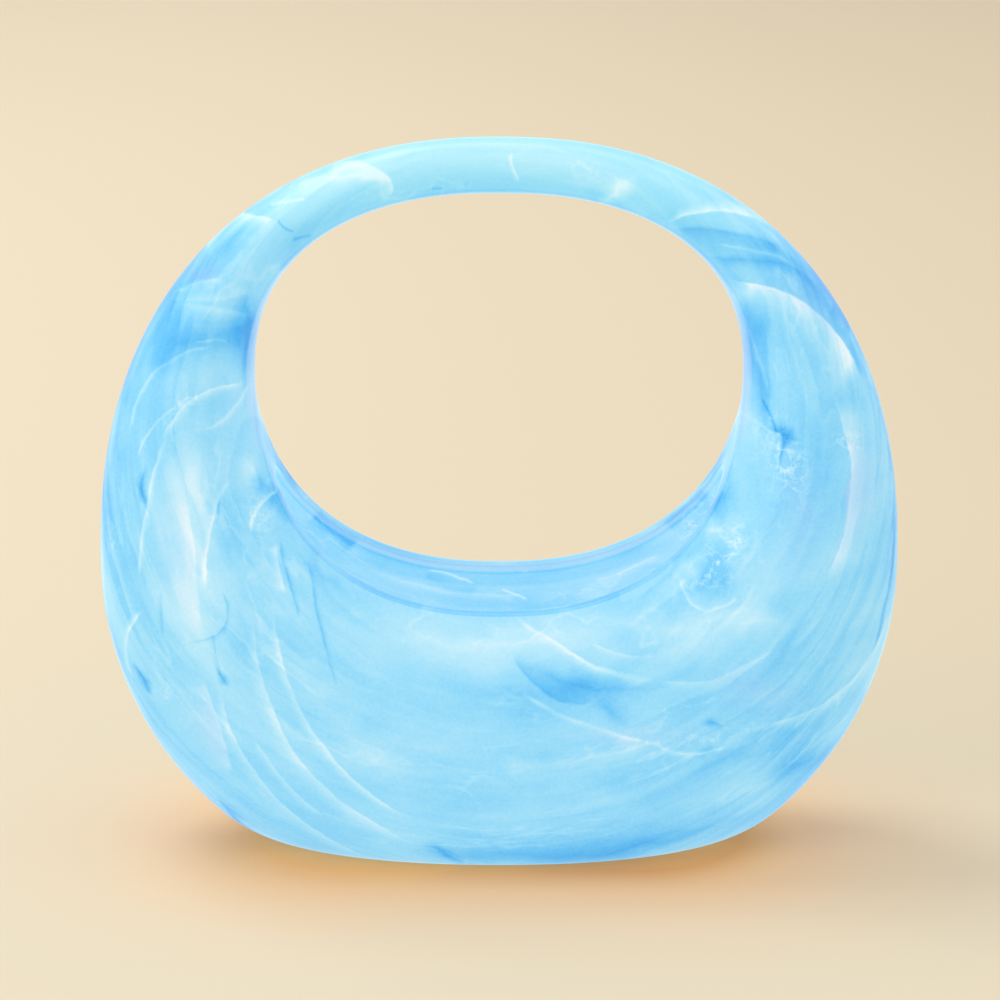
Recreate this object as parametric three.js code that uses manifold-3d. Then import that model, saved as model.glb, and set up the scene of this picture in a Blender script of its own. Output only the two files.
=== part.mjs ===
// A crescent handbag in marbled acrylic: one hollow shell whose shoulders run up into a solid ring handle.
//
// Millimetres. X is the bag's width, Y its depth with the front towards -Y, and Z is up.
// The origin is the middle of the flat base, which the bag stands on.
//
// The bag is a ring of elliptical sections that turn about the middle of the hand hole. A section's
// inner end lies on the hole's outline and its outer end on the bag's outline. Low in the ring the
// hole's outline is cut deeper, through the sections, and that cut is the mouth.
import * as THREE from "three";
import Module from "manifold-3d";
import { ParametricGeometry } from "three/addons/geometries/ParametricGeometry.js";
import { mergeVertices } from "three/addons/utils/BufferGeometryUtils.js";

// The bag's outline, seen from the front.
const bagWidth = 260;
const bagHeight = 234;
const widestHeight = 95.5;
const upperOutlineExponent = 2.25;
const lowerOutlineExponent = 2.05;

// The base: how far the round outline would reach below it, and the height that its edge is rounded over.
const baseSink = 23;
const baseRounding = 12;

// The hand hole, seen from the front.
const holeWidth = 157.8;
const holeMiddleHeight = 157;
const holeUpperExponent = 2.33;
const holeLowerExponent = 2.3;

// The thickness from front to back, in the belly and at the top of the handle.
const bagDepth = 94;
const handleThickness = 18;

// The mouth: its rim's lowest point, how far the sections would rise above it, and how far its
// outline stays inside the hole's at the sides, which sets where the mouth's ends come.
const rimHeight = 85.7;
const mouthRise = 18.5;
const mouthInset = 1;

// The hollow: its wall, how far round the ring it ends below the level of the hole's middle, and
// the stretch over which its end rounds off. Past it the shoulders and the handle are solid.
const wall = 4;
const hollowTopAngle = THREE.MathUtils.degToRad(6);
const hollowEndAngle = THREE.MathUtils.degToRad(14);

// Facets: round the ring, round a section, and along and round the hollow.
const ringSteps = 72;
const sectionSteps = 40;
const hollowSteps = 44;
const hollowSectionSteps = 28;

const acrylic = new THREE.MeshStandardMaterial({ name: "acrylic", color: 0xaee0fb, roughness: 0.12, metalness: 0 });

// Radius of a superellipse with half axes a and b, in the direction of an angle.
function superellipseRadius(angle, a, b, exponent) {
  const x = Math.abs(Math.cos(angle)) / a;
  const z = Math.abs(Math.sin(angle)) / b;
  return (x ** exponent + z ** exponent) ** (-1 / exponent);
}

// Distance from the hole's middle to the hole's outline, whose lower half reaches down by drop.
function holeRadius(angle, halfWidth, rise, drop) {
  return Math.sin(angle) >= 0
    ? superellipseRadius(angle, halfWidth, rise, holeUpperExponent)
    : superellipseRadius(angle, halfWidth, drop, holeLowerExponent);
}

const holeHalfWidth = holeWidth / 2;
const holeRise = bagHeight - handleThickness - holeMiddleHeight;
const rimDrop = holeMiddleHeight - rimHeight;

// Distance from the hole's middle to the sections' inner ends.
function innerRadius(angle) {
  return holeRadius(angle, holeHalfWidth, holeRise, rimDrop - mouthRise);
}

// Distance from the hole's middle to the mouth's outline. Above the mouth it stays clear of the ring.
function mouthRadius(angle) {
  return holeRadius(angle, holeHalfWidth - mouthInset, holeRise - 2 * mouthInset, rimDrop);
}

// Distance from the middle of the bag's widest place to the bag's outline.
function bagRadius(angle) {
  return Math.sin(angle) >= 0
    ? superellipseRadius(angle, bagWidth / 2, bagHeight - widestHeight, upperOutlineExponent)
    : superellipseRadius(angle, bagWidth / 2, widestHeight + baseSink, lowerOutlineExponent);
}

// Distance from the hole's middle to the bag's outline: a span that holds it is halved until it can't be.
function outerRadius(angle) {
  let inside = 0;
  let outside = bagWidth + bagHeight;
  let radius = (inside + outside) / 2;
  while (inside < radius && radius < outside) {
    const x = radius * Math.cos(angle);
    const z = holeMiddleHeight - widestHeight + radius * Math.sin(angle);
    if (Math.hypot(x, z) < bagRadius(Math.atan2(z, x))) inside = radius;
    else outside = radius;
    radius = (inside + outside) / 2;
  }
  return radius;
}

// Half the depth of the section at an angle: the handle's at the top, the belly's at the bottom.
function halfDepth(angle) {
  const share = (1 - Math.sin(angle)) / 2;
  return (handleThickness + (bagDepth - handleThickness) * share) / 2;
}

// Presses what lies below a floor onto it, with an edge that rounds over baseRounding each way.
function pressed(z, floor) {
  const height = z - floor;
  if (height >= baseRounding) return z;
  if (height <= -baseRounding) return floor;
  return floor + (height + baseRounding) ** 2 / (4 * baseRounding);
}

// A point of the section at an angle round the ring, its turn counted from the section's inner end.
// inset makes the section thinner by a wall, share shrinks it about its middle, floor is its flat base.
function sectionPoint(angle, turn, inset, share, floor, target) {
  const inner = innerRadius(angle);
  const outer = outerRadius(angle);
  const halfHeight = ((outer - inner) / 2 - inset) * share;
  const radius = (outer + inner) / 2 - halfHeight * Math.cos(turn);
  const y = (halfDepth(angle) - inset) * share * Math.sin(turn);
  const z = holeMiddleHeight + radius * Math.sin(angle);
  return target.set(radius * Math.cos(angle), y, pressed(z, floor));
}

// The closed ring, round from the bottom of the bag.
function ringGeometry() {
  const surface = (u, v, target) =>
    sectionPoint((u - 0.25) * 2 * Math.PI, v * 2 * Math.PI, 0, 1, 0, target);
  return new ParametricGeometry(surface, ringSteps, sectionSteps);
}

// The hollow, from its end in one shoulder down round the belly to its end in the other.
function hollowGeometry() {
  const start = -Math.PI + hollowTopAngle;
  const sweep = Math.PI - 2 * hollowTopAngle;
  const surface = (u, v, target) => {
    const angle = start + u * sweep;
    const fromEnd = Math.min(u, 1 - u) * sweep;
    const share = Math.sqrt(1 - Math.max(0, 1 - fromEnd / hollowEndAngle) ** 2);
    sectionPoint(angle, v * 2 * Math.PI, wall, share, wall, target);
  };
  return new ParametricGeometry(surface, hollowSteps, hollowSectionSteps);
}

// The mouth's cut, straight through from front to back.
function mouthGeometry() {
  const outline = new THREE.Shape();
  for (let step = 0; step < ringSteps; step++) {
    const angle = (step / ringSteps) * 2 * Math.PI;
    const radius = mouthRadius(angle);
    const x = radius * Math.cos(angle);
    const z = holeMiddleHeight + radius * Math.sin(angle);
    if (step === 0) outline.moveTo(x, z);
    else outline.lineTo(x, z);
  }
  outline.closePath();
  const length = 2 * bagDepth;
  const cut = new THREE.ExtrudeGeometry(outline, { depth: length, steps: 1, bevelEnabled: false });
  cut.rotateX(Math.PI / 2);
  cut.translate(0, length / 2, 0);
  return cut;
}

const wasm = await Module();
wasm.setup();

// A closed geometry as a solid: shared vertices merged, and the flat triangles at a pole left out.
function toSolid(geometry) {
  const bare = geometry.clone();
  bare.deleteAttribute("normal");
  bare.deleteAttribute("uv");
  const merged = mergeVertices(bare);
  const corners = merged.index.array;
  const triangles = [];
  for (let i = 0; i < corners.length; i += 3) {
    const [a, b, c] = [corners[i], corners[i + 1], corners[i + 2]];
    if (a !== b && b !== c && c !== a) triangles.push(a, b, c);
  }
  const mesh = new wasm.Mesh({
    numProp: 3,
    vertProperties: merged.attributes.position.array,
    triVerts: new Uint32Array(triangles),
  });
  return new wasm.Manifold(mesh);
}

// A solid as a geometry to draw.
function toGeometry(solid) {
  const mesh = solid.getMesh();
  const geometry = new THREE.BufferGeometry();
  geometry.setAttribute("position", new THREE.Float32BufferAttribute(mesh.vertProperties, mesh.numProp));
  geometry.setIndex(new THREE.Uint32BufferAttribute(mesh.triVerts, 1));
  geometry.computeVertexNormals();
  return geometry;
}

function crescentShell() {
  const ring = toSolid(ringGeometry());
  const hollow = toSolid(hollowGeometry());
  const mouth = toSolid(mouthGeometry());
  const shell = new THREE.Mesh(toGeometry(ring.subtract(hollow).subtract(mouth)), acrylic);
  shell.name = "crescent_shell";
  return shell;
}

const handbag = new THREE.Group();
handbag.name = "crescent_handbag";
handbag.add(crescentShell());

export default handbag;
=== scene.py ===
"""A crescent handbag in marbled acrylic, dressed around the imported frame.

Metres, with X along the bag's width, -Y towards its front and +Z up from the base that it stands on.
Streaks of pigment are placed in millimetres, because a maker would measure them so.
"""
import functools
import logging
import math
from collections.abc import Callable, Iterable, Sequence
from dataclasses import dataclass
from enum import Enum

import bmesh
import bpy
from mathutils import Matrix, Vector

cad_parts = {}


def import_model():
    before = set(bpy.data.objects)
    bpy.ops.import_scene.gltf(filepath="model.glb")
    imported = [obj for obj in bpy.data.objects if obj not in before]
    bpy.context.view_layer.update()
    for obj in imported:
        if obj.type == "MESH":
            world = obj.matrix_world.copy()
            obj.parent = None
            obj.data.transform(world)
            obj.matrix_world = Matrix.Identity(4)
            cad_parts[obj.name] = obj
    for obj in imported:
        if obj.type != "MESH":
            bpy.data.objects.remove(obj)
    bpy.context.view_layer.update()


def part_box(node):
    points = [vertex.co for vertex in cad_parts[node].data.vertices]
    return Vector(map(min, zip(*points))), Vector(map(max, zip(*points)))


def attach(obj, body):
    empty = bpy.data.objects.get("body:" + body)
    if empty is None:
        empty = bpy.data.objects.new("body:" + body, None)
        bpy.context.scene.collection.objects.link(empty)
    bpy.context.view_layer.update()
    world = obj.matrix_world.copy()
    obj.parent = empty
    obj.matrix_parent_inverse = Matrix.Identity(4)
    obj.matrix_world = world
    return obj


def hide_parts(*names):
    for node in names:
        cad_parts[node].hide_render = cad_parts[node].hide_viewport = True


SHELL_NODE = "crescent_shell"
BODY = "root"
MM = 0.001
BLACK = (0.0, 0.0, 0.0, 1.0)

# A place across and up, a start and an end, a start, an end and a fade, and a colour as a screen shows it.
Spot = tuple[float, float]
Span = tuple[float, float]
Stretch = tuple[float, float, float]
Colour = tuple[int, int, int]

log = logging.getLogger("handbag")


# The form of the bag


def superellipse(angle: float, half_width: float, half_height: float, exponent: float) -> float:
    """Gives the radius of a superellipse in one direction.

    Args:
        angle: The direction, in radians above +X.
        half_width: Half its width, in metres.
        half_height: Half its height, in metres.
        exponent: 2 for an ellipse, and more for squarer shoulders.

    Returns:
        The distance from its middle to its outline.
    """
    across = abs(math.cos(angle)) / half_width
    up = abs(math.sin(angle)) / half_height
    return (across**exponent + up**exponent) ** (-1 / exponent)


def between(start: float, end: float, share: float) -> float:
    """Gives the number at a share of the way from start to end."""
    return start + (end - start) * share


def crossing(low: float, high: float, is_low: Callable[[float], bool]) -> float:
    """Finds where a condition stops holding.

    Args:
        low: A number for which it holds.
        high: A number for which it doesn't.
        is_low: The condition.

    Returns:
        The number between the two at which it changes.
    """
    middle = (low + high) / 2
    while low < middle < high:
        if is_low(middle):
            low = middle
        else:
            high = middle
        middle = (low + high) / 2
    return middle


@dataclass(frozen=True)
class CrescentForm:
    """The bag's form: a ring of elliptical sections that turn about the middle of the hand hole.

    An angle goes round that middle, from -90 degrees at the base to 90 at the top of the handle. A turn
    goes round one section, from 0 at the hole to 180 degrees at the bag's outline.
    """

    width: float
    height: float
    depth: float
    widest_height: float = 0.0955
    upper_exponent: float = 2.25
    lower_exponent: float = 2.05
    base_sink: float = 0.023
    base_rounding: float = 0.012
    hole_width: float = 0.1578
    hole_height: float = 0.157
    hole_upper_exponent: float = 2.33
    hole_lower_exponent: float = 2.3
    handle: float = 0.018
    rim_height: float = 0.0857
    mouth_rise: float = 0.0185
    mouth_inset: float = 0.001
    wall: float = 0.004
    hollow_top: float = math.radians(-6)
    hollow_end: float = math.radians(14)

    def hole_radius(self, angle: float, half_width: float, rise: float, drop: float) -> float:
        """Gives the radius of an egg shape about the hole's middle, whose lower half goes down by drop."""
        if math.sin(angle) >= 0:
            return superellipse(angle, half_width, rise, self.hole_upper_exponent)
        return superellipse(angle, half_width, drop, self.hole_lower_exponent)

    @property
    def hole_rise(self) -> float:
        """Gives the height of the hole above its middle."""
        return self.height - self.handle - self.hole_height

    @property
    def rim_drop(self) -> float:
        """Gives the depth of the mouth's rim below the hole's middle."""
        return self.hole_height - self.rim_height

    def inner_radius(self, angle: float) -> float:
        """Gives the distance from the hole's middle to the sections' inner ends."""
        return self.hole_radius(angle, self.hole_width / 2, self.hole_rise, self.rim_drop - self.mouth_rise)

    def mouth_radius(self, angle: float) -> float:
        """Gives the distance from the hole's middle to the outline that cuts the mouth."""
        half_width = self.hole_width / 2 - self.mouth_inset
        return self.hole_radius(angle, half_width, self.hole_rise - 2 * self.mouth_inset, self.rim_drop)

    @functools.cache
    def outer_radius(self, angle: float) -> float:
        """Gives the distance from the hole's middle to the bag's outline."""

        def is_inside(radius: float) -> bool:
            """Says whether a point at that radius lies inside the bag's outline."""
            x = radius * math.cos(angle)
            z = self.hole_height - self.widest_height + radius * math.sin(angle)
            if z >= 0:
                upper = self.height - self.widest_height
                outline = superellipse(math.atan2(z, x), self.width / 2, upper, self.upper_exponent)
            else:
                lower = self.widest_height + self.base_sink
                outline = superellipse(math.atan2(z, x), self.width / 2, lower, self.lower_exponent)
            return math.hypot(x, z) < outline

        return crossing(0, self.width + self.height, is_inside)

    def section(self, angle: float, inset: float = 0.0, share: float = 1.0) -> tuple[float, float, float]:
        """Gives a section's sizes.

        Args:
            angle: Where it is round the ring.
            inset: How much thinner it is on every side.
            share: How much of its size is left.

        Returns:
            The radius of its middle, half its height along the radius and half its depth.
        """
        inner = self.inner_radius(angle)
        outer = self.outer_radius(angle)
        belly = between(self.handle, self.depth, (1 - math.sin(angle)) / 2) / 2
        return (outer + inner) / 2, ((outer - inner) / 2 - inset) * share, (belly - inset) * share

    def pressed(self, z: float, floor: float) -> float:
        """Presses what lies below a floor onto it, with a rounded edge."""
        height = z - floor
        if height >= self.base_rounding:
            return z
        if height <= -self.base_rounding:
            return floor
        return floor + (height + self.base_rounding) ** 2 / (4 * self.base_rounding)

    def placed(self, angle: float, radius: float, y: float, floor: float = 0.0) -> Vector:
        """Gives the point at an angle and a radius round the hole's middle."""
        z = self.hole_height + radius * math.sin(angle)
        return Vector((radius * math.cos(angle), y, self.pressed(z, floor)))

    def skin_point(self, angle: float, turn: float) -> Vector:
        """Gives a point of the outside, on the front half."""
        middle, half_height, half_depth = self.section(angle)
        return self.placed(angle, middle - half_height * math.cos(turn), -half_depth * math.sin(turn))

    def hollow_point(self, angle: float, turn: float) -> Vector:
        """Gives a point of the hollow's wall, on the front half."""
        from_end = max(0.0, 1 - (self.hollow_top - angle) / self.hollow_end)
        share = math.sqrt(max(0.0, 1 - from_end**2))
        middle, half_height, half_depth = self.section(angle, self.wall, share)
        radius = middle - half_height * math.cos(turn)
        return self.placed(angle, radius, -half_depth * math.sin(turn), self.wall)

    def edge_turn(self, angle: float, inset: float) -> float:
        """Gives the turn at which the mouth's cut meets a section."""
        middle, half_height, _ = self.section(angle, inset)
        return math.acos(max(-1.0, min(1.0, (middle - self.mouth_radius(angle)) / half_height)))

    def edge_end(self, inset: float) -> float:
        """Gives the angle at which the edge of the mouth's cut ends at the side."""

        def is_cut(angle: float) -> bool:
            """Says whether the cut still goes through the section there."""
            return self.mouth_radius(angle) > self.inner_radius(angle) + inset

        return crossing(-math.pi / 2, 0, is_cut)


class Strip(Enum):
    """The strips that the shell's surface is made in, with the rows of faces in each."""

    SKIN = 48
    OUTER_ROUNDING = 4
    RIM = 6
    INNER_ROUNDING = 4
    HOLLOW = 40


PointMaker = Callable[[float, float], tuple[Vector, float]]


@dataclass
class CrescentShell:
    """The bag itself, one piece of acrylic. A quarter of it is shaped and then mirrored.

    Every vertex keeps three measures for the finish: from_hole and from_edge, its distances in
    millimetres from the hole's outline and from the bag's, and inside, which is 1 on the hollow's wall.
    """

    form: CrescentForm
    mouth_columns: int = 88
    shoulder_columns: int = 80
    pocket_columns: int = 24
    crowding: float = 1.7
    shoulder_crowding: float = 1.4
    rounding: float = 0.0009
    weld: float = 2e-6
    sliver: float = 2e-7

    def build(self) -> bpy.types.Object:
        """Makes the bag's mesh and its object.

        Returns:
            The object, at the origin, with its place in its mesh.
        """
        mesh = bmesh.new()
        for name in ("from_hole", "from_edge", "inside"):
            mesh.verts.layers.float.new(name)
        strip_rows = sum(strip.value for strip in Strip)
        self._sheet(mesh, self.mouth_columns, strip_rows, self._mouth_strip)
        self._sheet(mesh, self.shoulder_columns, Strip.SKIN.value, self._shoulder)
        self._sheet(mesh, self.pocket_columns, Strip.HOLLOW.value, self._pocket)
        for axis in "XY":
            everything = mesh.verts[:] + mesh.edges[:] + mesh.faces[:]
            flat = Matrix.Identity(4)
            bmesh.ops.mirror(mesh, geom=everything, matrix=flat, merge_dist=self.weld, axis=axis)
        bmesh.ops.remove_doubles(mesh, verts=mesh.verts[:], dist=self.weld)
        bmesh.ops.dissolve_degenerate(mesh, dist=self.sliver, edges=mesh.edges[:])
        bmesh.ops.recalc_face_normals(mesh, faces=mesh.faces[:])
        for face in mesh.faces:
            face.smooth = True
        data = bpy.data.meshes.new("marbled_shell")
        mesh.to_mesh(data)
        mesh.free()
        piece = bpy.data.objects.new("marbled_shell", data)
        bpy.context.scene.collection.objects.link(piece)
        return piece

    def _sheet(self, mesh: bmesh.types.BMesh, columns: int, rows: int, place: PointMaker) -> None:
        """Adds a grid and lays it on the form.

        Args:
            mesh: The mesh to add to.
            columns: Faces round the ring.
            rows: Faces round the section.
            place: Gives the point at a share of the columns and of the rows, and whether it is inside.
        """
        from_hole = mesh.verts.layers.float["from_hole"]
        from_edge = mesh.verts.layers.float["from_edge"]
        inside = mesh.verts.layers.float["inside"]
        grid = bmesh.ops.create_grid(mesh, x_segments=columns, y_segments=rows, size=0.5)
        for vertex in grid["verts"]:
            column = round((vertex.co.x + 0.5) * columns) / columns
            row = round((vertex.co.y + 0.5) * rows) / rows
            vertex.co, vertex[inside] = place(column, row)
            x, z = vertex.co.x, vertex.co.z - self.form.hole_height
            angle = math.atan2(z, x)
            vertex[from_hole] = (math.hypot(x, z) - self.form.mouth_radius(angle)) / MM
            vertex[from_edge] = (self.form.outer_radius(angle) - math.hypot(x, z)) / MM

    def _station(self, column: float, end: float) -> float:
        """Gives the angle of a column of the mouth's strip. The columns crowd towards the mouth's end."""
        return end - (end + math.pi / 2) * (1 - column) ** self.crowding

    def _set_back(self, y: float) -> float:
        """Gives where the rounding of an edge at that depth starts: nearer at the mouth's pointed end."""
        return self.rounding * abs(y) / (abs(y) + 2 * self.rounding)

    def _mouth_strip(self, column: float, row: float) -> tuple[Vector, float]:
        """Gives a point of the strip that goes up the outside, over the rim and down the hollow's wall."""
        form = self.form
        outer_angle = self._station(column, form.edge_end(0.0))
        inner_angle = self._station(column, form.edge_end(form.wall))
        outer_turn = form.edge_turn(outer_angle, 0.0)
        inner_turn = form.edge_turn(inner_angle, form.wall)
        outer_edge = form.skin_point(outer_angle, outer_turn)
        inner_edge = form.hollow_point(inner_angle, inner_turn)

        def rim_point(share: float) -> Vector:
            """Gives a point of the mouth's cut, from its outer edge to its inner one."""
            angle = between(outer_angle, inner_angle, share)
            return form.placed(angle, form.mouth_radius(angle), between(outer_edge.y, inner_edge.y, share))

        def turn_back(angle: float, turn: float, inset: float, distance: float) -> float:
            """Gives the turn at a distance before the edge."""
            _, half_height, half_depth = form.section(angle, inset)
            return turn + distance / math.hypot(half_height * math.sin(turn), half_depth * math.cos(turn))

        rim_width = (outer_edge - inner_edge).length
        outer_back = self._set_back(outer_edge.y)
        inner_back = self._set_back(inner_edge.y)
        skin_turn = turn_back(outer_angle, outer_turn, 0.0, outer_back)
        wall_turn = turn_back(inner_angle, inner_turn, form.wall, inner_back)
        rim_start = outer_back / rim_width
        rim_end = 1 - inner_back / rim_width
        strip, share = self._strip_at(row)
        match strip:
            case Strip.SKIN:
                return form.skin_point(outer_angle, between(math.pi, skin_turn, share)), 0.0
            case Strip.OUTER_ROUNDING:
                skin = form.skin_point(outer_angle, skin_turn)
                return rounded(skin, outer_edge, rim_point(rim_start), share), 0.0
            case Strip.RIM:
                return rim_point(between(rim_start, rim_end, share)), share
            case Strip.INNER_ROUNDING:
                wall = form.hollow_point(inner_angle, wall_turn)
                return rounded(rim_point(rim_end), inner_edge, wall, share), 1.0
            case _:
                return form.hollow_point(inner_angle, between(wall_turn, math.pi, share)), 1.0

    def _strip_at(self, row: float) -> tuple[Strip, float]:
        """Gives the strip that a row lies in, and its share of the way over it."""
        place = row * sum(strip.value for strip in Strip)
        for strip in Strip:
            if place <= strip.value:
                return strip, place / strip.value
            place -= strip.value
        return Strip.HOLLOW, 1.0

    def _shoulder(self, column: float, row: float) -> tuple[Vector, float]:
        """Gives a point of the outside above the mouth, up over the shoulder and the handle."""
        start = self.form.edge_end(0.0)
        angle = between(start, math.pi / 2, column**self.shoulder_crowding)
        return self.form.skin_point(angle, math.pi * (1 - row)), 0.0

    def _pocket(self, column: float, row: float) -> tuple[Vector, float]:
        """Gives a point of the hollow's wall past the mouth's end, up to where the hollow closes."""
        start = self.form.edge_end(self.form.wall)
        angle = between(start, self.form.hollow_top, math.sin(column * math.pi / 2))
        return self.form.hollow_point(angle, math.pi * row), 1.0


def rounded(start: Vector, corner: Vector, end: Vector, share: float) -> Vector:
    """Gives a point of the curve that rounds a corner from start to end."""
    return start.lerp(corner, share).lerp(corner.lerp(end, share), share)


# Shader maths


class Number:
    """A socket that holds a number at every point. Operators on it add Math nodes."""

    def __init__(self, bench: "Bench", socket: bpy.types.NodeSocket) -> None:
        """Wraps a socket of the bench's node tree."""
        self.bench = bench
        self.socket = socket

    def _math(self, operation: str, *values: "Number | float") -> "Number":
        """Adds a Math node that works on the given values."""
        node = self.bench.node("ShaderNodeMath", {"operation": operation}, dict(enumerate(values)))
        return Number(self.bench, node.outputs[0])

    def __add__(self, other: "Number | float") -> "Number":
        """Adds."""
        return self._math("ADD", self, other)

    def __radd__(self, other: "Number | float") -> "Number":
        """Adds, from the right."""
        return self._math("ADD", other, self)

    def __sub__(self, other: "Number | float") -> "Number":
        """Subtracts."""
        return self._math("SUBTRACT", self, other)

    def __rsub__(self, other: "Number | float") -> "Number":
        """Subtracts, from the right."""
        return self._math("SUBTRACT", other, self)

    def __mul__(self, other: "Number | float") -> "Number":
        """Multiplies."""
        return self._math("MULTIPLY", self, other)

    def __rmul__(self, other: "Number | float") -> "Number":
        """Multiplies, from the right."""
        return self._math("MULTIPLY", other, self)

    def __truediv__(self, other: "Number | float") -> "Number":
        """Divides."""
        return self._math("DIVIDE", self, other)

    def __pow__(self, other: "Number | float") -> "Number":
        """Raises to a power."""
        return self._math("POWER", self, other)

    def __abs__(self) -> "Number":
        """Drops the sign."""
        return self._math("ABSOLUTE", self)

    def at_most(self, other: "Number | float") -> "Number":
        """Gives the smaller of the two."""
        return self._math("MINIMUM", self, other)

    def at_least(self, other: "Number | float") -> "Number":
        """Gives the larger of the two."""
        return self._math("MAXIMUM", self, other)

    def angle_from(self, across: "Number | float") -> "Number":
        """Gives the angle whose tangent is this over across."""
        return self._math("ARCTAN2", self, across)

    def fraction(self) -> "Number":
        """Gives what is left over a whole number."""
        return self._math("FRACT", self)

    def cosine(self) -> "Number":
        """Gives its cosine."""
        return self._math("COSINE", self)

    def sine(self) -> "Number":
        """Gives its sine."""
        return self._math("SINE", self)

    def rise(self, start: float, end: float) -> "Number":
        """Goes smoothly from 0 at start to 1 at end, and end may be the lower."""
        settings = {"interpolation_type": "SMOOTHSTEP", "clamp": True}
        inputs = {"Value": self, "From Min": start, "From Max": end, "To Min": 0.0, "To Max": 1.0}
        return Number(self.bench, self.bench.node("ShaderNodeMapRange", settings, inputs).outputs["Result"])

    def band(self, start: float, end: float, fade: float) -> "Number":
        """Is 1 from start to end, and fades out smoothly over fade on both sides."""
        return self.rise(start - fade, start) * self.rise(end + fade, end)

    def line(self, sharpness: float) -> "Number":
        """Is 1 where the number passes 0.5, and falls to 0 beside that, faster where it is sharper."""
        return 1 - (abs(self - 0.5) * sharpness).at_most(1.0)


def thrice(value: float) -> tuple[float, float, float]:
    """Gives a value three times, for each number of a Triple."""
    return value, value, value


class Triple:
    """A socket that holds three separate numbers at every point. Operators on it add Vector Math nodes."""

    def __init__(self, bench: "Bench", socket: bpy.types.NodeSocket) -> None:
        """Wraps a vector socket of the bench's node tree."""
        self.bench = bench
        self.socket = socket

    def _math(self, operation: str, *values: object) -> bpy.types.Node:
        """Adds a Vector Math node that works on the given values."""
        return self.bench.node("ShaderNodeVectorMath", {"operation": operation}, dict(enumerate(values)))

    def __add__(self, other: "Triple | Sequence[float]") -> "Triple":
        """Adds, number by number."""
        return Triple(self.bench, self._math("ADD", self, other).outputs[0])

    def __mul__(self, other: "Triple | Sequence[float]") -> "Triple":
        """Multiplies, number by number."""
        return Triple(self.bench, self._math("MULTIPLY", self, other).outputs[0])

    def times_plus(self, factor: "Triple | Sequence[float]", extra: "Triple | Sequence[float]") -> "Triple":
        """Multiplies by a factor and adds something, number by number."""
        return Triple(self.bench, self._math("MULTIPLY_ADD", self, factor, extra).outputs[0])

    def at_most(self, other: "Triple | Sequence[float]") -> "Triple":
        """Gives the smaller of each two."""
        return Triple(self.bench, self._math("MINIMUM", self, other).outputs[0])

    def at_least(self, other: "Triple | Sequence[float]") -> "Triple":
        """Gives the larger of each two."""
        return Triple(self.bench, self._math("MAXIMUM", self, other).outputs[0])

    def weighed(self, weights: Sequence[float]) -> Number:
        """Adds up the three numbers, each times its weight."""
        return Number(self.bench, self._math("DOT_PRODUCT", self, weights).outputs["Value"])


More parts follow.
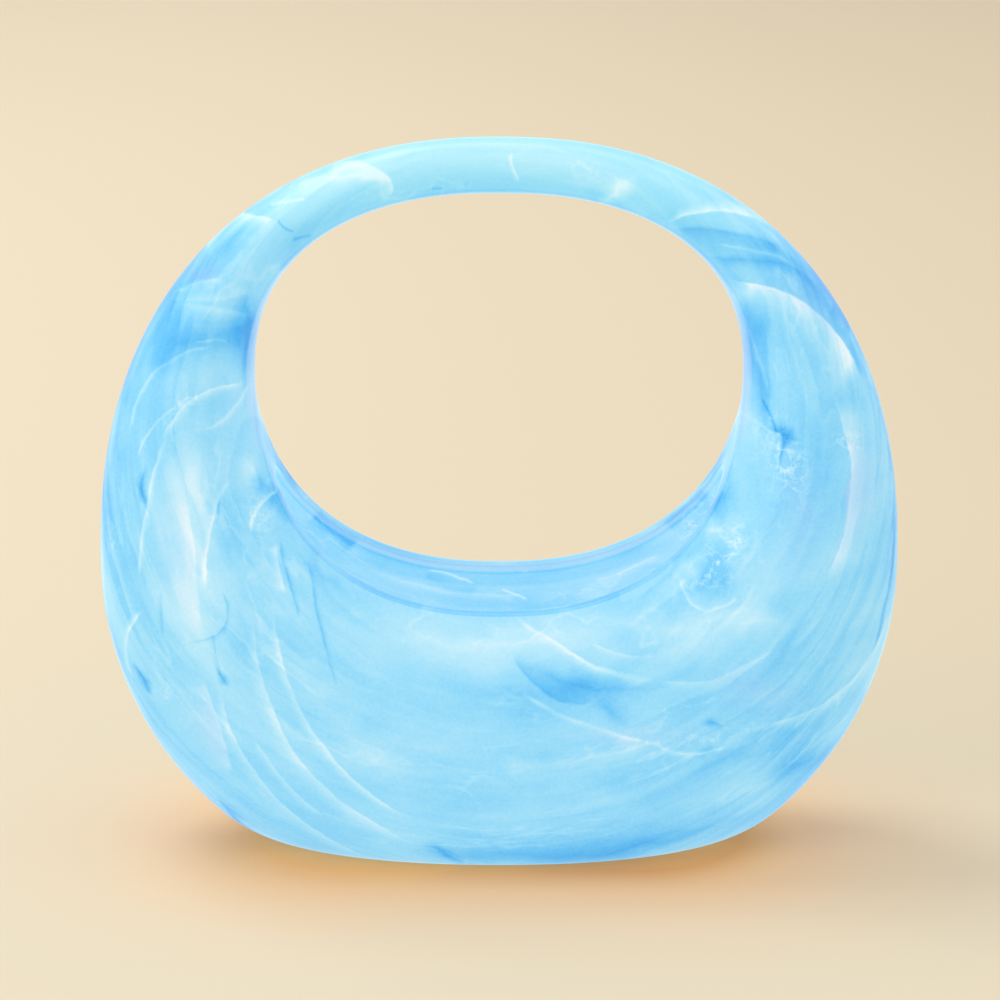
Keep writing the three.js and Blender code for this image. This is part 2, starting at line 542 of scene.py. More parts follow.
class Bench:
    """Lays out one material's nodes."""

    def __init__(self, name: str) -> None:
        """Starts a material with an empty node tree, whose glow isn't sampled as a lamp."""
        self.material = bpy.data.materials.new(name)
        self.material.use_nodes = True
        self.material.cycles.emission_sampling = "NONE"
        self.tree = self.material.node_tree
        self.tree.nodes.clear()

    def node(self, kind: str, settings: dict[str, object], inputs: dict[object, object]) -> bpy.types.Node:
        """Adds a node.

        Args:
            kind: The node's type.
            settings: Its properties by name, set before its sockets are. A ramp's stops go under "stops".
            inputs: A value, a socket, a Number or a Triple for each of its sockets, by name or by place.

        Returns:
            The node.
        """
        node = self.tree.nodes.new(kind)
        for name, value in settings.items():
            if name == "stops":
                self._set_stops(node.color_ramp, value)
            else:
                setattr(node, name, value)
        for name, value in inputs.items():
            source = value.socket if isinstance(value, (Number, Triple)) else value
            if isinstance(source, bpy.types.NodeSocket):
                self.tree.links.new(source, node.inputs[name])
            else:
                node.inputs[name].default_value = source
        return node

    def _set_stops(self, ramp: bpy.types.ColorRamp, stops: Sequence[tuple[float, Sequence[float]]]) -> None:
        """Gives a ramp its stops, each a place and a colour."""
        while len(ramp.elements) < len(stops):
            ramp.elements.new(1.0)
        for element, (place, colour) in zip(ramp.elements, stops):
            element.position = place
            element.color = colour

    def attribute(self, name: str) -> Number:
        """Reads a measure that the mesh's vertices keep."""
        return Number(self, self.node("ShaderNodeAttribute", {"attribute_name": name}, {}).outputs["Fac"])

    def place(self) -> Triple:
        """Gives the place on the piece, in millimetres."""
        metres = self.node("ShaderNodeTexCoord", {}, {}).outputs["Object"]
        inputs = {"Vector": metres, "Scale": 1 / MM}
        scaled = self.node("ShaderNodeVectorMath", {"operation": "SCALE"}, inputs)
        return Triple(self, scaled.outputs["Vector"])

    def parts(self, triple: Triple) -> tuple[Number, Number, Number]:
        """Takes three numbers apart."""
        node = self.node("ShaderNodeSeparateXYZ", {}, {0: triple})
        x, y, z = (Number(self, socket) for socket in node.outputs)
        return x, y, z

    def triple(self, x: Number | float, y: Number | float, z: Number | float) -> Triple:
        """Puts three numbers together."""
        return Triple(self, self.node("ShaderNodeCombineXYZ", {}, {0: x, 1: y, 2: z}).outputs[0])

    def noise(self, at: Triple, scale: float, detail: float, rough: float = 0.5) -> Triple:
        """Adds soft noise.

        Args:
            at: Where to read it.
            scale: How many of its features there are in a unit of length.
            detail: How many finer layers it has.
            rough: How strong each finer layer is.

        Returns:
            Three separate noises about 0.5.
        """
        inputs = {"Vector": at, "Scale": scale, "Detail": detail, "Roughness": rough}
        return Triple(self, self.node("ShaderNodeTexNoise", {}, inputs).outputs["Color"])

    def wobble(self, at: Triple, scale: float, detail: float = 2.0) -> Triple:
        """Adds soft noise about 0."""
        return self.noise(at, scale, detail) + thrice(-0.5)

    def mix(self, share: Number | float, start: object, end: object) -> bpy.types.NodeSocket:
        """Mixes two colours."""
        node = self.node("ShaderNodeMix", {"data_type": "RGBA"}, {"Factor": share, 6: start, 7: end})
        return node.outputs[2]

    def surfaced(self, inputs: dict[object, object]) -> bpy.types.Material:
        """Ends the material with its shader.

        Args:
            inputs: What the shader's sockets get, by name.

        Returns:
            The material.
        """
        shader = self.node("ShaderNodeBsdfPrincipled", {}, inputs)
        self.node("ShaderNodeOutputMaterial", {}, {"Surface": shader.outputs["BSDF"]})
        return self.material


# The finish


def screen_colour(red: int, green: int, blue: int) -> tuple[float, float, float, float]:
    """Turns a colour as a screen shows it, from 0 to 255, into the linear colour that a shader takes."""

    def linear(value: int) -> float:
        """Undoes the screen's curve for one channel."""
        share = value / 255
        return share / 12.92 if share <= 0.04045 else ((share + 0.055) / 1.055) ** 2.4

    return linear(red), linear(green), linear(blue), 1.0


MILK_SHADES = (
    (0.0, (60, 168, 242)),
    (0.25, (104, 197, 250)),
    (0.5, (151, 221, 253)),
    (0.75, (190, 236, 254)),
    (1.0, (236, 249, 255)),
)


@dataclass(frozen=True)
class Streak:
    """A streak of pigment, or of painted light or shade where its name says glow or shade, seen from the
    front, in millimetres across and up from the middle of the base.

    It goes from start through middle to end. It fades out over left and over right, seen along its way,
    and its amount is above 0 where it is milky and below 0 where it is a deeper blue.
    """

    name: str
    start: Spot
    middle: Spot
    end: Spot
    left: float
    right: float
    amount: float

    @property
    def half_length(self) -> float:
        """Gives half the straight distance from start to end."""
        return math.dist(self.start, self.end) / 2

    @property
    def way(self) -> Spot:
        """Gives the direction from start to end."""
        length = 2 * self.half_length
        return (self.end[0] - self.start[0]) / length, (self.end[1] - self.start[1]) / length

    @property
    def centre(self) -> Spot:
        """Gives the middle of the straight line from start to end."""
        return (self.start[0] + self.end[0]) / 2, (self.start[1] + self.end[1]) / 2

    def seen(self, spot: Spot) -> Spot:
        """Gives a spot's share of the way along, from -1 to 1, and its distance to the left of the line."""
        x, z = spot[0] - self.centre[0], spot[1] - self.centre[1]
        along, up = self.way
        return (x * along + z * up) / self.half_length, z * along - x * up

    @property
    def bow(self) -> float:
        """Gives how far the streak's middle stands to the left of the straight line."""
        along, aside = self.seen(self.middle)
        return aside / (1 - along**2)


HANDLE_STREAKS = (
    Streak("left hook, lower", (-66, 218), (-52, 223), (-38, 225), 0.8, 3.5, 0.22),
    Streak("left hook, upper", (-55, 224), (-44, 227), (-34, 222), 0.8, 4.0, 0.40),
    Streak("left hook, tip", (-43, 225), (-36, 224), (-34, 216), 0.8, 4.0, 0.48),
    Streak("left hair", (-73, 213), (-66, 215), (-60, 216), 0.7, 0.7, 0.25),
    Streak("left shoulder arc", (-95, 197), (-84, 209), (-69, 209), 0.6, 3.0, 0.42),
    Streak("left dash", (-70, 210), (-67, 207), (-64, 206), 0.8, 0.8, -0.35),
    Streak("left dash, lower", (-66, 203), (-62, 204), (-59, 204), 0.8, 0.8, -0.30),
    Streak("top dash", (-22, 219), (-20, 219), (-18, 219), 0.7, 0.7, -0.30),
    Streak("middle hair", (4, 231), (4, 226), (6, 220), 0.6, 1.2, 0.42),
    Streak("right shoulder line", (52, 208), (70, 213), (88, 205), 2.5, 0.6, 0.50),
    Streak("right shoulder shade", (54, 206), (73, 207), (91, 198), 1.0, 6.0, -0.32),
    Streak("right shoulder hair", (67, 203), (86, 199), (104, 186), 0.7, 1.0, 0.22),
    Streak("right shoulder band", (65, 197), (89, 196), (113, 173), 2.5, 3.0, -0.30),
    Streak("right shoulder band, end", (106, 182), (110, 178), (113, 172), 1.2, 2.5, -0.35),
)

SHOULDER_STREAKS = (
    Streak("left cloud line", (-103, 186), (-95, 190), (-86, 192), 0.7, 2.0, 0.25),
    Streak("left strand", (-105, 184), (-90, 186), (-76, 188), 3.0, 1.0, 0.18),
    Streak("left strand, lower", (-104, 183), (-90, 183), (-77, 179), 1.0, 3.0, 0.18),
    Streak("left wisp", (-97, 172), (-92, 173), (-86, 172), 0.6, 0.8, 0.25),
    Streak("left hairline", (-118, 140), (-110, 161), (-88, 172), 0.6, 1.0, 0.28),
    Streak("main vein, top", (-79, 157), (-94, 156), (-106, 141), 2.0, 0.6, 0.34),
    Streak("main vein, foot", (-104, 144), (-111, 123), (-115, 94), 1.4, 0.6, 0.32),
    Streak("dotted vein", (-100, 154), (-109, 146), (-115, 134), 0.7, 0.7, 0.28),
    Streak("main vein, branch", (-80, 157), (-84, 150), (-94, 145), 1.4, 0.7, 0.30),
    Streak("right ribbon", (72, 191), (99, 182), (115, 158), 0.6, 8.0, 0.80),
    Streak("right fan", (73, 189), (80, 173), (86, 154), 0.8, 1.2, 0.22),
    Streak("right fan, outer", (88, 187), (93, 170), (99, 150), 0.8, 1.5, 0.22),
    Streak("right dark hair", (83, 154), (86, 148), (88, 142), 0.8, 0.8, -0.30),
    Streak("right edge line", (113, 170), (127, 120), (117, 60), 1.4, 1.0, -0.35),
    Streak("right pale band", (105, 157), (112, 128), (102, 95), 10.0, 0.5, 0.32),
)

BODY_STREAKS = (
    Streak("left pale band", (-102, 140), (-97, 108), (-94, 78), 0.6, 14.0, 0.13),
    Streak("left line", (-83, 131), (-91, 115), (-93, 94), 0.7, 1.6, 0.32),
    Streak("left dark hair", (-107, 94), (-107, 86), (-107, 78), 0.7, 1.4, -0.22),
    Streak("left dark hook", (-101, 78), (-91, 80), (-89, 97), 0.5, 1.6, -0.28),
    Streak("left edge hook", (-113, 87), (-120, 73), (-118, 59), 0.7, 1.8, 0.38),
    Streak("left spot, stalk", (-91, 82), (-90, 74), (-88, 66), 0.6, 1.4, -0.22),
    Streak("first sweep", (-78, 88), (-70, 51), (-24, 10), 0.5, 4.0, 0.28),
    Streak("second sweep", (-72, 93), (-63, 56), (-25, 19), 0.6, 2.6, 0.32),
    Streak("third sweep", (-89, 68), (-78, 33), (-38, 2), 0.5, 4.0, 0.24),
    Streak("fourth sweep", (-79, 48), (-68, 31), (-55, 19), 0.6, 2.4, 0.20),
    Streak("left lilac band", (-95, 68), (-89, 50), (-86, 30), 0.6, 9.0, 0.22),
    Streak("mouth hair", (-70, 110), (-67, 97), (-63, 85), 1.2, 0.6, -0.26),
    Streak("mouth hair, glow", (-71, 109), (-70, 101), (-68, 93), 0.6, 3.0, 0.30),
    Streak("second mouth hair", (-61, 104), (-57, 84), (-50, 63), 1.2, 0.6, -0.24),
    Streak("mouth end thread", (-70, 123), (-77, 118), (-78, 110), 0.7, 1.2, 0.38),
    Streak("middle stroke", (4, 87), (26, 73), (52, 66), 0.6, 2.0, 0.30),
    Streak("middle stroke, core", (20, 76), (36, 70), (50, 67), 0.5, 0.6, 0.22),
    Streak("middle stroke, branch", (28, 78), (39, 75), (51, 74), 0.5, 1.6, 0.18),
    Streak("middle stroke, tail", (48, 67), (68, 67), (88, 78), 0.6, 3.0, 0.15),
    Streak("swirl", (3, 77), (12, 65), (32, 60), 6.0, 0.7, -0.22),
    Streak("lower hair", (6, 64), (27, 53), (50, 46), 0.8, 1.5, 0.28),
    Streak("lower arc", (-2, 40), (25, 41), (50, 47), 2.0, 5.0, 0.20),
    Streak("lower knot", (46, 46), (49, 46), (52, 46), 1.2, 1.2, 0.26),
    Streak("lower arc, tail", (49, 47), (61, 42), (74, 45), 0.8, 2.0, 0.32),
    Streak("arrow", (57, 98), (62, 90), (66, 88), 1.6, 0.5, 0.24),
    Streak("arrow, point", (64, 88), (70, 89), (76, 93), 1.2, 0.5, 0.22),
    Streak("long right arc", (128, 88), (118, 66), (82, 51), 4.0, 0.6, 0.26),
)

# Pools named shade are painted shade, and those named glow are painted light.
POOLS = (
    Streak("right cloud", (44, 226), (38, 220), (31, 211), 4.0, 4.0, 0.40),
    Streak("left grey cloud", (-102, 190), (-94, 193), (-85, 195), 5.0, 4.0, -0.16),
    Streak("left deep pool", (-116, 160), (-98, 172), (-74, 176), 10.0, 9.0, -0.28),
    Streak("left deep pool by the hole", (-78, 192), (-80, 172), (-80, 152), 5.0, 8.0, -0.46),
    Streak("blue spot", (-112, 135), (-113, 127), (-112, 116), 2.4, 2.4, -0.42),
    Streak("right pool by the hole", (76, 196), (81, 168), (87, 132), 7.0, 8.0, -0.34),
    Streak("right dark spot", (84, 144), (90, 143), (96, 142), 3.4, 3.4, -0.62),
    Streak("right dark spot, tail", (90, 145), (89, 138), (88, 131), 1.3, 1.3, -0.40),
    Streak("left line, dark fleck", (-86, 126), (-88, 121), (-89, 115), 1.0, 1.0, -0.34),
    Streak("left edge spot", (-117, 68), (-115, 62), (-112, 56), 2.0, 2.0, -0.48),
    Streak("left spot", (-91, 71), (-88, 67), (-85, 63), 1.8, 1.8, -0.50),
    Streak("left foot shade", (-93, 24), (-86, 13), (-78, 3), 4.0, 3.0, -0.32),
    Streak("foot shade", (-27, 13), (-18, 7), (-10, 1), 2.5, 2.5, -0.32),
    Streak("mouth end, left", (-83, 136), (-80, 131), (-76, 125), 3.4, 3.0, 0.24),
    Streak("swirl pool", (4, 72), (22, 66), (56, 64), 6.0, 5.0, -0.36),
    Streak("swirl tail", (30, 63), (36, 57), (44, 51), 4.0, 4.0, -0.22),
    Streak("lower fleck", (59, 42), (66, 41), (74, 42), 3.0, 2.0, -0.26),
    Streak("upper fleck", (64, 52), (68, 52), (72, 52), 1.8, 1.8, -0.30),
    Streak("arrow pool", (58, 97), (68, 96), (78, 106), 7.0, 6.0, -0.13),
    Streak("bright fleck", (64, 111), (69, 112), (75, 111), 3.0, 3.0, 0.26),
    Streak("right pale cloud", (70, 83), (82, 85), (94, 84), 7.0, 6.0, 0.22),
    Streak("right foot pool", (80, 38), (98, 34), (116, 34), 15.0, 15.0, -0.22),
    Streak("foot pool", (-40, 10), (40, 8), (106, 24), 14.0, 14.0, -0.40),
    Streak("middle glow", (-70, 92), (-8, 77), (62, 92), 12.0, 15.0, 0.27),
    Streak("left outer shade", (-128, 116), (-116, 168), (-72, 208), 9.0, 14.0, -0.20),
    Streak("right outer shade", (62, 210), (98, 190), (118, 140), 12.0, 10.0, -0.28),
    Streak("right edge shade", (120, 130), (129, 98), (122, 66), 6.0, 6.0, -0.16),
    Streak("lower right shade", (56, 36), (90, 44), (116, 60), 12.0, 12.0, -0.17),
    Streak("mouth patch, left", (-66, 106), (-56, 97), (-46, 91), 4.0, 4.0, -0.20),
    Streak("mouth patch, upper left", (-79, 133), (-73, 122), (-65, 113), 4.0, 4.0, -0.36),
    Streak("mouth patch, right", (64, 111), (71, 120), (77, 133), 4.0, 4.5, -0.30),
    Streak("handle glow", (-70, 222), (0, 232), (74, 216), 12.0, 10.0, 0.10),
    Streak("centre blush", (26, 88), (64, 84), (98, 108), 14.0, 12.0, 0.28),
    Streak("middle shade", (-30, 66), (8, 62), (54, 58), 8.0, 9.0, -0.12),
    Streak("left blush", (-94, 148), (-99, 104), (-86, 58), 15.0, 15.0, 0.36),
    Streak("left edge shade", (-122, 156), (-128, 118), (-122, 86), 5.0, 6.0, -0.26),
    Streak("lower left blush", (-66, 76), (-48, 50), (-22, 30), 10.0, 12.0, 0.14),
)

WALL_STREAKS = (
    Streak("first wisp", (-25, 83), (-16, 81), (-7, 77), 0.7, 0.9, 0.40),
    Streak("second wisp", (0, 76), (5, 74), (10, 71), 0.6, 0.9, 0.35),
    Streak("long line", (-46, 84), (-20, 75), (12, 74), 0.7, 2.0, 0.16),
    Streak("left patch", (-63, 105), (-56, 97), (-47, 91), 6.0, 5.0, -0.38),
    Streak("middle patch", (-26, 82), (-18, 77), (-6, 75), 4.0, 4.0, -0.13),
    Streak("right patch", (54, 99), (62, 106), (70, 114), 5.0, 5.0, -0.30),
    Streak("right wisps", (30, 78), (42, 82), (54, 90), 0.8, 3.0, 0.20),
)

LACE = (
    Streak("right, by the hole", (82, 156), (90, 136), (97, 114), 9.0, 9.0, 1.1),
    Streak("right, outer", (104, 144), (110, 141), (116, 136), 5.0, 5.0, 0.8),
    Streak("mouth end, right", (54, 90), (68, 102), (82, 120), 8.0, 9.0, 1.1),
    Streak("mouth end, left", (-80, 128), (-77, 118), (-74, 104), 5.0, 5.0, 0.6),
    Streak("main vein", (-84, 158), (-97, 155), (-108, 140), 5.0, 4.0, 0.7),
    Streak("left edge", (-126, 118), (-124, 108), (-121, 98), 4.0, 5.0, 0.5),
    Streak("left foot", (-116, 80), (-106, 58), (-92, 40), 5.0, 5.0, 0.5),
    Streak("handle", (14, 226), (30, 224), (44, 218), 5.0, 5.0, 0.5),
    Streak("lower right", (44, 50), (64, 46), (90, 58), 5.0, 5.0, 0.5),
)

LILAC_STREAKS = (
    Streak("left grey cloud", (-103, 189), (-94, 193), (-84, 195), 5.0, 5.0, 0.60),
    Streak("left pale band", (-101, 138), (-98, 106), (-95, 76), 0.8, 16.0, 0.32),
    Streak("left lilac band", (-95, 68), (-89, 50), (-86, 30), 0.8, 11.0, 0.70),
    Streak("right pale band", (105, 157), (112, 128), (102, 95), 11.0, 0.8, 0.80),
    Streak("right ribbon", (74, 190), (99, 181), (114, 160), 12.0, 1.0, 0.35),
    Streak("right shoulder", (88, 150), (96, 120), (90, 88), 12.0, 12.0, 0.35),
    Streak("lower right", (60, 70), (84, 62), (104, 56), 9.0, 9.0, 0.35),
    Streak("lower middle", (10, 50), (40, 49), (76, 48), 6.0, 6.0, 0.35),
)


@dataclass(frozen=True)
class Ground:
    """What the marbling is laid out on, where place, x, y and z are wobbled a little.

    from_hole and from_edge are in millimetres. inside is 1 on the hollow's wall, far is 1 away from the
    near rim, wall is 1 on the hollow's far wall, and low is 1 outside at the foot.
    """

    bench: Bench
    place: Triple
    x: Number
    z: Number
    ragged_x: Number
    ragged_z: Number
    angle: Number
    radius: Number
    from_hole: Number
    from_edge: Number
    inside: Number
    far: Number
    wall: Number
    low: Number


@dataclass(frozen=True)
class RingNoise:
    """Noise that is drawn out round the ring and closes on itself.

    turns is how fast it changes round the ring, scale is how many of its features there are in a
    millimetre across the ring, and detail is how many finer layers it has.
    """

    turns: float
    scale: float
    detail: float = 3.0
    rough: float = 0.55

    def read(self, ground: Ground) -> tuple[Number, Number, Number]:
        """Gives three separate noises about 0.5."""
        across = ground.angle.cosine() * self.turns
        up = ground.angle.sine() * self.turns
        at = ground.bench.triple(across, up, ground.radius * self.scale)
        return ground.bench.parts(ground.bench.noise(at, 1.0, self.detail, self.rough))


@dataclass(frozen=True)
class Sheets:
    """Two sets of thin sheets of milk that lie over each other, each sheet with one crisp edge."""

    noise: RingNoise = RingNoise(0.6, 0.045, 2.0)
    counts: Span = (6.0, 7.8)
    crispness: Span = (9.0, 12.0)
    amounts: Span = (0.16, 0.10)
    mean: float = 0.45
    first_seen: Span = (0.42, 0.62)

    def milk(self, ground: Ground, patches: Number) -> Number:
        """Gives the milk that they add.

        Args:
            ground: What they are laid out on.
            patches: A noise that says where the first set is seen, and where the second.

        Returns:
            The milk, which is about 0 on the whole.
        """
        first, second, _ = self.noise.read(ground)
        seen = patches.rise(*self.first_seen)
        sets = zip((first, second), self.counts, self.crispness, self.amounts, (seen, 1 - seen))
        return sum(
            (self._sheet(noise * count, crispness) - self.mean) * amount * share
            for noise, count, crispness, amount, share in sets
        )

    def _sheet(self, noise: Number, crispness: float) -> Number:
        """Gives a ramp up through each whole step of a noise, which then falls steeply."""
        saw = noise.fraction()
        return saw.at_most((1 - saw) * crispness)


@dataclass(frozen=True)
class Hairs:
    """Fine white threads between the streaks, and the faint hairs that the milk is combed into."""

    threads: RingNoise = RingNoise(2.4, 0.07)
    thread_sharpness: Span = (40.0, 50.0)
    thread_amounts: Span = (0.10, 0.06)
    threads_seen: Span = (0.50, 0.60)
    combing: RingNoise = RingNoise(0.8, 0.30)
    combing_amounts: Span = (0.22, 0.08)
    combing_seen: Span = (0.35, 0.65)

    def milk(self, ground: Ground) -> Number:
        """Gives the milk that they add."""
        *noises, third = self.threads.read(ground)
        lines = [noise.line(sharpness) for noise, sharpness in zip(noises, self.thread_sharpness)]
        threads = sum(line * amount for line, amount in zip(lines, self.thread_amounts))
        hair, second, seen = self.combing.read(ground)
        strong, weak = self.combing_amounts
        combed = (hair - 0.5) * strong * seen.rise(*self.combing_seen) + (second - 0.5) * weak
        return threads * third.rise(*self.threads_seen) + combed


@dataclass(frozen=True)
class Lace:
    """The tangled white threads of the lacy knots, and the frost that covers all of the milk."""

    scale: float = 0.11
    detail: float = 4.0
    rough: float = 0.6
    sharpness: Span = (22.0, 30.0)
    amounts: Span = (0.30, 0.20)
    frost_scale: float = 0.9
    frost_detail: float = 1.0
    frost_amount: float = 0.13

    def milk(self, ground: Ground, knots: Number) -> Number:
        """Gives the milk that they add, where knots says how dense the lace is."""
        bench = ground.bench
        *noises, _ = bench.parts(bench.noise(ground.place, self.scale, self.detail, self.rough))
        lines = [noise.line(sharpness) for noise, sharpness in zip(noises, self.sharpness)]
        tangle = sum(line * amount for line, amount in zip(lines, self.amounts))
        frosts = bench.noise(ground.place, self.frost_scale, self.frost_detail, self.rough)
        frost, _, _ = bench.parts(frosts)
        return knots * tangle + (frost - 0.5) * self.frost_amount


@dataclass(frozen=True)
class Band:
    """A band of milk: its start, end and fade, and its amount in the bag's middle and at its sides."""

    start: float
    end: float
    fade: float
    amount: float
    side_amount: float

    def across(self, measure: Number, centre: Number) -> Number:
        """Gives the band across a measure, where centre is 1 at the bag's middle."""
        amount = self.side_amount + centre * (self.amount - self.side_amount)
        return measure.band(self.start, self.end, self.fade) * amount


@dataclass(frozen=True)
class MouthBands:
    """Painted light and shade beside the hand hole and on the mouth's far wall: painted shade lines along
    the hole, painted shade and a lighter painted lift on the far wall, painted shade on the rim's cut face,
    a painted glint and painted shade at the near rim, and a lilac painted reflection along the far rim.

    All are in millimetres from the hole, but the band on the rim's cut face, which goes by inside.
    """

    centre: Span = (58.0, 38.0)
    # Painted shade: two darker lines along the hole's edge, on the far side.
    rim_shade_line: Band = Band(0.9, 1.2, 0.4, -0.12, -0.12)
    second_shade_line: Band = Band(3.4, 3.9, 0.7, -0.14, -0.14)
    # Painted shade on the far wall below the rim, and a lighter painted lift over the whole far wall.
    wall_shade: Band = Band(4.8, 8.0, 2.0, -0.12, 0.0)
    wall_lift: float = 0.08
    wall_side_lift: float = 0.14
    # Painted shade on the rim's cut face, then a painted glint and painted shade at the near rim.
    rim_face_shade: Band = Band(0.05, 0.95, 0.05, -0.24, -0.16)
    near_glint: Band = Band(0.0, 0.5, 0.3, 0.10, 0.0)
    glint_inside: Span = (0.9, 1.0)
    near_shade: Band = Band(-0.4, 0.5, 0.4, -0.18, -0.10)
    # A lilac painted reflection along the far rim.
    rim_lilac_reflection: Stretch = (0.7, 2.6, 0.6)
    rim_reflection_amount: float = 0.6

    def milk(self, ground: Ground) -> Number:
        """Gives the milk that they add."""
        hole, inside = ground.from_hole, ground.inside
        centre = abs(ground.x).rise(*self.centre)
        lines = self.rim_shade_line.across(hole, centre) + self.second_shade_line.across(hole, centre)
        wall_lift_milk = self.wall_side_lift + centre * (self.wall_lift - self.wall_side_lift)
        wall = self.wall_shade.across(hole, centre) + wall_lift_milk
        glint = self.near_glint.across(hole, centre) * inside.rise(*self.glint_inside)
        shade = self.near_shade.across(hole, centre) * (1 - inside)
        near = (glint + shade) * (1 - ground.far)
        return lines * ground.far + wall * ground.wall + self.rim_face_shade.across(inside, centre) + near

    def lilac(self, ground: Ground) -> Number:
        """Gives the lilac of the painted reflection along the far rim."""
        return ground.from_hole.band(*self.rim_lilac_reflection) * ground.far * self.rim_reflection_amount


@dataclass(frozen=True)
class MarbledAcrylic:
    """Polished milky acrylic with blue, white and lilac marbling that is drawn out round the ring.

    Light that goes through the acrylic evens out its shades. A share of its colour stands in for that as a
    painted glow, though the acrylic is no lamp, and only the rest, its body, takes the studio's light. In
    the hollow and at the foot the painted glow is stronger and the body weaker, which lifts the shade
    there.
    """

    name: str = "marbled_acrylic"
    roughness: float = 0.24
    refraction: float = 1.49
    specular: float = 0.18
    # The body takes the studio's light. The glow is painted light, and it is stronger in the hollow and at
    # the foot to lift the shade there.
    body: float = 0.42
    inner_body: float = 0.26
    foot_body: float = 0.20
    glow: float = 0.64
    inner_glow: float = 0.74
    foot_glow: float = 0.84

    # Where things are, in millimetres but for wall_inside, and how the marbling is wobbled.
    ring_middle: float = 157.0
    slant: float = 0.35
    far_side: Span = (-17.0, -8.0)
    wall_inside: Span = (0.6, 1.0)
    foot: Span = (80.0, 5.0)
    crown_height: Span = (185.0, 210.0)
    crown_width: Span = (95.0, 55.0)
    warp: float = 3.0
    warp_scale: float = 0.05
    warp_detail: float = 1.0
    fine_warp: float = 1.0
    fine_warp_scale: float = 0.30
    ragged_warp: float = 6.0
    ragged_scale: float = 0.10

    # The milk, from 0 where the acrylic is deep blue to 1 where it is white.
    base_amount: float = 0.50
    softness: float = 1.5
    line_fullness: float = 2.2
    pool_fullness: float = 1.0
    line_patches: Span = (0.36, 0.58)
    faintest_line: float = 0.5
    hidden_on_wall: float = 0.85
    sides: Span = (0.15, 0.75)
    broad: RingNoise = RingNoise(1.25, 0.085)
    broad_amount: float = 0.12
    broad_side_amount: float = 0.33
    cloud_scale: float = 0.022
    cloud_detail: float = 3.0
    cloud_rough: float = 0.55
    cloud_squash: float = 1.9
    cloud_amount: float = 0.42
    sheets: Sheets = Sheets()
    sheets_share: float = 0.2
    hairs: Hairs = Hairs()
    lace: Lace = Lace()
    mouth: MouthBands = MouthBands()
    top_light: Span = (16.0, 3.0)
    top_light_amount: float = 0.30
    top_light_mean: float = 0.12
    # Painted shade along the bag's outline, deepest at the foot.
    outline_shade: Span = (1.6, 0.0)
    outline_shade_amount: float = -0.20
    second_outline_shade: Stretch = (2.6, 3.4, 1.0)
    second_outline_shade_amount: float = -0.05
    foot_outline_shade: Span = (12.0, 0.0)
    foot_outline_shade_amount: float = -0.26

    # The colours.
    # A painted highlight: the top of the handle is mixed towards a pale cyan white, as if lit from above.
    crown_light_colour: Colour = (176, 246, 253)
    crown_light_share: float = 0.30
    lilac: Colour = (188, 208, 252)
    lilac_share: float = 0.5
    most_lilac: float = 0.8
    faintest_lilac: float = 0.4

    def material(self) -> bpy.types.Material:
        """Builds the material.

        Returns:
            The material, with its patterns in millimetres on Object coordinates.
        """
        bench = Bench(self.name)
        ground = self._ground(bench)
        colour = self._colour(ground)
        body = self._shared(ground, self.body, self.inner_body, self.foot_body)
        glow = self._shared(ground, self.glow, self.inner_glow, self.foot_glow)
        inputs = {
            "Base Color": bench.mix(body, BLACK, colour),
            "Roughness": self.roughness,
            "IOR": self.refraction,
            "Specular IOR Level": self.specular,
            "Emission Color": bench.mix(glow, BLACK, colour),
            "Emission Strength": 1.0,
        }
        return bench.surfaced(inputs)

    def _shared(self, ground: Ground, plain: float, inner: float, foot: float) -> Number:
        """Gives a share of the colour that differs in the hollow and at the foot."""
        return ground.inside * (inner - plain) + ground.low * (foot - plain) + plain

    def _ground(self, bench: Bench) -> Ground:
        """Reads the places and the measures that the marbling is laid out on."""
        steady = bench.place()
        slow = bench.wobble(steady, self.warp_scale, self.warp_detail)
        fine = bench.wobble(steady, self.fine_warp_scale)
        swayed = slow.times_plus(thrice(self.warp), steady)
        place = fine.times_plus(thrice(self.fine_warp), swayed)
        torn = bench.wobble(steady, self.ragged_scale).times_plus(thrice(self.ragged_warp), place)
        x, y, z = bench.parts(place)
        ragged_x, _, ragged_z = bench.parts(torn)
        up = z - self.ring_middle
        inside = bench.attribute("inside")
        far = y.rise(*self.far_side)
        return Ground(
            bench=bench,
            place=place,
            x=x,
            z=z,
            ragged_x=ragged_x,
            ragged_z=ragged_z,
            angle=up.angle_from(x),
            radius=(x * x + up * up) ** 0.5 + y * self.slant,
            from_hole=bench.attribute("from_hole"),
            from_edge=bench.attribute("from_edge"),
            inside=inside,
            far=far,
            wall=inside.rise(*self.wall_inside) * far,
            low=z.rise(*self.foot) * (1 - inside),
        )

    def _colour(self, ground: Ground) -> bpy.types.NodeSocket:
        """Gives the colour, paled on top of the handle by a painted top light, and lilac here and there."""
        bench = ground.bench
        cloud_place = ground.place * (1.0, 1.0, self.cloud_squash)
        noises = bench.noise(cloud_place, self.cloud_scale, self.cloud_detail, self.cloud_rough)
        cloud, speckle, _ = bench.parts(noises)
        crown = ground.z.rise(*self.crown_height) * abs(ground.x).rise(*self.crown_width)
        stops = [(amount, screen_colour(*shade)) for amount, shade in MILK_SHADES]
        milk = self._milk(ground, cloud, crown)
        ramp = bench.node("ShaderNodeValToRGB", {"stops": stops}, {"Fac": milk})
        # Painted top light: the top of the handle is paled towards a cyan white.
        handle_light_colour = screen_colour(*self.crown_light_colour)
        top_lit = bench.mix(crown * self.crown_light_share, ramp.outputs["Color"], handle_light_colour)
        streaks = self._pools(ground, LILAC_STREAKS)
        lilac = (streaks * (self.faintest_lilac + speckle)).at_least(0.0) + self.mouth.lilac(ground)
        tinting = (lilac * self.lilac_share).at_most(self.most_lilac)
        return bench.mix(tinting, top_lit, screen_colour(*self.lilac))

